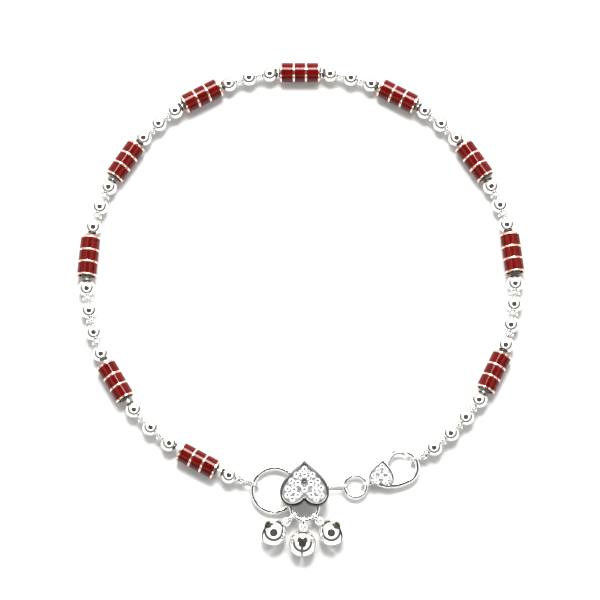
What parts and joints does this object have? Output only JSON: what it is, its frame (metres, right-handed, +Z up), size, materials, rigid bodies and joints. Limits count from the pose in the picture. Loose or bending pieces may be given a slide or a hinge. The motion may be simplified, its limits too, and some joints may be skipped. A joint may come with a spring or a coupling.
{
  "type": "beaded anklet",
  "caption": "Round silver anklet of small beads and red enamelled barrels, closed by a lobster clasp, with a pave heart charm and jingle bells.",
  "frame": {"origin": "middle of the anklet's footprint, on the surface that it lies on", "axes": "+Z up from the surface, +Y from the heart charm across the loop to its far side, +X towards the clasp"},
  "size_m": [0.0836, 0.0948, 0.005],
  "materials": {
    "silver": "polished",
    "enamel": "gloss",
    "pave": "polished",
    "wire": "satin"
  },
  "bodies": {
    "anklet": {"bead_01": "silver", "bead_02": "silver", "bead_03": "silver", "bead_04": "silver", "bead_05": "silver", "bead_06": "silver", "bead_07": "silver", "bead_08": "silver", "bead_09": "silver", "bead_10": "silver", "bead_11": "silver", "bead_12": "silver", "bead_13": "silver", "bead_14": "silver", "bead_15": "silver", "bead_16": "silver", "bead_17": "silver", "bead_18": "silver", "bead_19": "silver", "bead_20": "silver", "bead_21": "silver", "bead_22": "silver", "bead_23": "silver", "bead_24": "silver", "bead_25": "silver", "bead_26": "silver", "bead_27": "silver", "bead_28": "silver", "bead_29": "silver", "bead_30": "silver", "bead_31": "silver", "bead_32": "silver", "bead_33": "silver", "bead_34": "silver", "barrel_01": "enamel", "barrel_02": "enamel", "barrel_03": "enamel", "barrel_04": "enamel", "barrel_05": "enamel", "barrel_06": "enamel", "barrel_07": "enamel", "barrel_08": "enamel", "barrel_09": "enamel", "barrel_10": "enamel", "thread": "wire", "end_loop_start": "silver", "end_loop_finish": "silver", "large_ring": "silver", "bell_ring": "silver", "bell_left": "silver", "bell_centre": "silver", "bell_right": "silver", "bell_link_left": "silver", "bell_link_centre": "silver", "bell_link_right": "silver", "connector_link": "silver", "small_ring": "silver", "heart_charm": "pave", "clasp_body": "pave"},
    "lever": {"clasp_lever": "silver"}
  },
  "joints": [
    {"name": "clasp_lever_hinge", "type": "hinge", "parent": "anklet", "child": "lever", "pos_m": [0.01573, -0.0308, 0.0012], "axis": [0, 0, -1], "range_deg": [0, 16], "stiffness_Nm_per_rad": 0.005, "springref_deg": -5.73}
  ]
}
